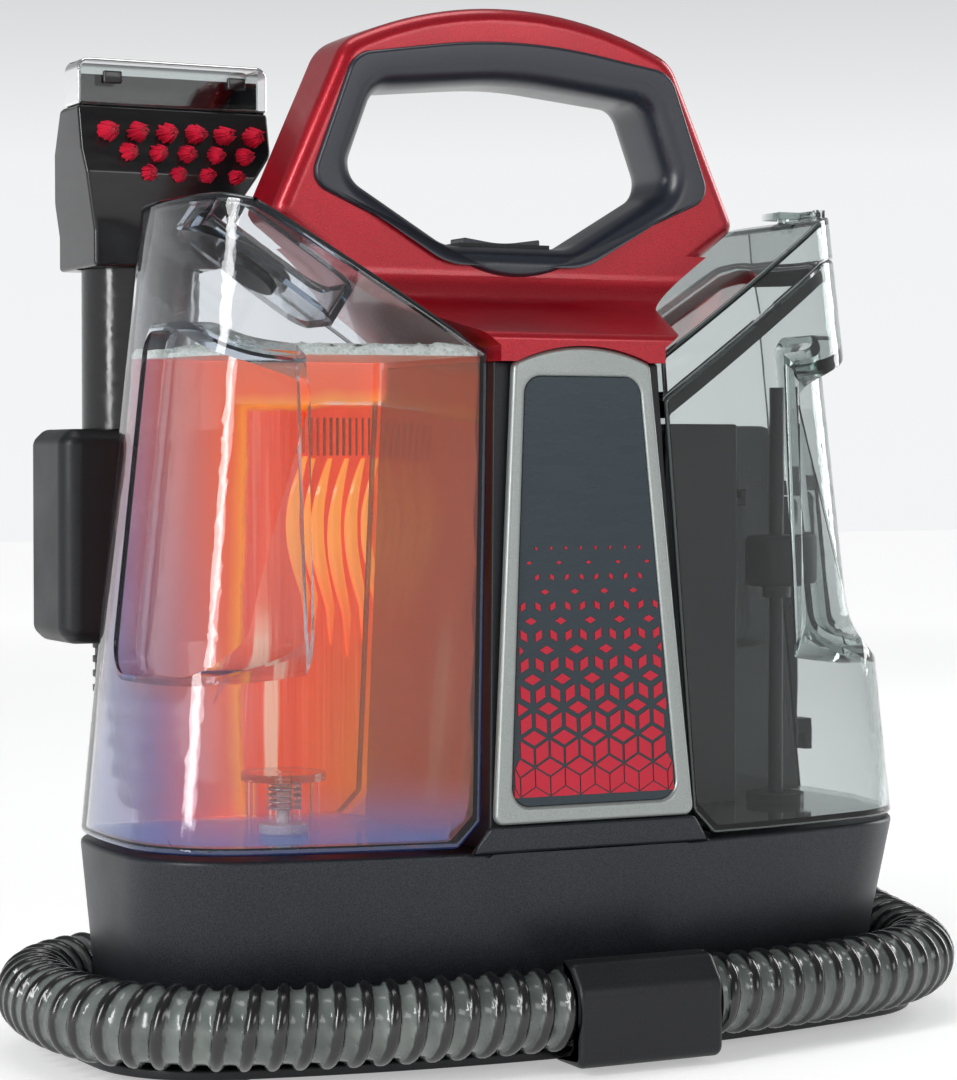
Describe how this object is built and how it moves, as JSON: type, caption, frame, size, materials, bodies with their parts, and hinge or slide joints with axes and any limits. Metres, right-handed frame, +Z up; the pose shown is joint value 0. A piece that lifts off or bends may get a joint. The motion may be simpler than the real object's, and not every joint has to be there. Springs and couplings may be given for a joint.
{
  "type": "portable carpet cleaner",
  "caption": "Portable spot carpet cleaner with clean and dirty water tanks, carry handle, heater, wrapped suction hose and stowed wand with bristle tool.",
  "frame": {"origin": "on the floor under the middle of the machine without its hose", "axes": "+X to the machine's right seen from the front, +Y to the back, +Z up"},
  "size_m": [0.3431, 0.1875, 0.3465],
  "materials": {
    "charcoal_plastic": "fine metallic charcoal plastic",
    "black_plastic": "moulded black plastic",
    "black_gloss": "glossy black plastic",
    "rubber": "black rubber",
    "silver_trim": "satin silver trim",
    "insert_panel": "printed panel, slate above and crimson below",
    "red_shell": "deep red pearl plastic",
    "soft_grip": "satin soft-touch grip",
    "steel": "plain steel",
    "clear_plastic": "clear moulded plastic",
    "smoke_plastic": "smoke-grey clear plastic",
    "white_plastic": "natural moulded plastic",
    "heater_red": "bright red plastic",
    "aluminium": "cast aluminium",
    "tubing": "silicone line",
    "bristle_red": "red nylon bristle",
    "hose_vinyl": "grey ribbed vinyl with black helix"
  },
  "bodies": {
    "root": {"base_shroud": "charcoal_plastic", "base_pan": "black_plastic", "rubber_feet": "rubber", "hose_clip": "black_plastic", "front_tower": "black_plastic", "front_bezel": "silver_trim", "front_insert": "insert_panel", "handle_front_shell": "red_shell", "handle_rear_shell": "red_shell", "handle_screws": "steel", "grip_ring": "soft_grip", "switch_body": "black_plastic", "valve_seat": "black_plastic", "seat_seal": "rubber", "rear_housing": "black_plastic", "rear_cover": "black_plastic", "cover_screws": "steel", "exhaust_grille": "black_plastic", "cord_gland": "rubber", "cord_hook_pin": "steel", "fixed_cord_hook": "black_plastic", "heater_cover": "heater_red", "heater_block": "aluminium", "heater_elements": "steel", "thermostat": "white_plastic", "fan_housing": "white_plastic", "motor": "steel", "motor_mount": "rubber", "pump_body": "white_plastic", "pump_spring": "steel", "water_line": "tubing", "hose_port": "black_plastic", "suction_riser": "black_plastic", "wand_body": "black_gloss", "hose_cuff": "black_plastic", "wand_holder": "black_plastic", "hose": "hose_vinyl"},
    "rotor": {"impeller": "aluminium", "motor_shaft": "steel"},
    "rocker": {"power_rocker": "soft_grip"},
    "clean_tank_body": {"clean_tank": "clear_plastic", "valve_cage": "clear_plastic", "valve_spring": "steel"},
    "cap": {"fill_cap": "black_plastic"},
    "valve": {"outlet_valve": "white_plastic"},
    "dirty_tank_body": {"dirty_tank": "smoke_plastic", "dirty_tank_lid": "smoke_plastic", "lid_seal": "rubber", "flap_hinge": "smoke_plastic", "separator_duct": "black_plastic", "float_guide": "black_plastic"},
    "flap": {"pour_flap": "smoke_plastic"},
    "float": {"float_ring": "black_plastic"},
    "hook": {"swivel_cord_hook": "black_plastic"},
    "plunger": {"pump_plunger": "steel"},
    "trigger": {"spray_trigger": "soft_grip"},
    "tool": {"spot_tool": "black_gloss", "nozzle_window": "clear_plastic", "bristle_tufts": "bristle_red", "spray_tip": "white_plastic"}
  },
  "joints": [
    {"name": "clean_tank_tilt", "type": "hinge", "parent": "root", "child": "clean_tank_body", "pos_m": [-0.141, 0, 0.0715], "axis": [0, -1, 0], "range_deg": [0, 22]},
    {"name": "fill_cap_lift", "type": "slide", "parent": "clean_tank_body", "child": "cap", "axis": [0.5519, 0, 0.8339], "range_m": [0, 0.008]},
    {"name": "outlet_valve_lift", "type": "slide", "parent": "clean_tank_body", "child": "valve", "axis": [0, 0, 1], "range_m": [0, 0.004], "stiffness_N_per_m": 300},
    {"name": "dirty_tank_tilt", "type": "hinge", "parent": "root", "child": "dirty_tank_body", "pos_m": [0.141, 0, 0.0715], "axis": [0, 1, 0], "range_deg": [0, 22]},
    {"name": "pour_flap_hinge", "type": "hinge", "parent": "dirty_tank_body", "child": "flap", "pos_m": [0.118, -0.01, 0.281], "axis": [0, 1, 0], "range_deg": [0, 100]},
    {"name": "float_rise", "type": "slide", "parent": "dirty_tank_body", "child": "float", "axis": [0, 0, 1], "range_m": [0, 0.04]},
    {"name": "power_rocker_tilt", "type": "hinge", "parent": "root", "child": "rocker", "pos_m": [0, 0.0015, 0.265], "axis": [0, 1, 0], "range_deg": [-7, 7]},
    {"name": "cord_hook_swivel", "type": "hinge", "parent": "root", "child": "hook", "pos_m": [0.1355, 0.042, 0.184], "axis": [0, 0, 1], "range_deg": [0, 90]},
    {"name": "fan_spin", "type": "hinge", "parent": "root", "child": "rotor", "pos_m": [0.066, 0, 0.03], "axis": [0, 0, 1], "continuous": true},
    {"name": "pump_stroke", "type": "slide", "parent": "root", "child": "plunger", "axis": [1, 0, 0], "range_m": [-0.003, 0.003], "stiffness_N_per_m": 400},
    {"name": "spray_trigger_pull", "type": "hinge", "parent": "root", "child": "trigger", "pos_m": [-0.104, 0.0835, 0.2535], "axis": [-1, 0, 0], "range_deg": [0, 7], "stiffness_Nm_per_rad": 0.5},
    {"name": "spot_tool_pull", "type": "slide", "parent": "root", "child": "tool", "axis": [0, 0, 1], "range_m": [0, 0.04]}
  ]
}
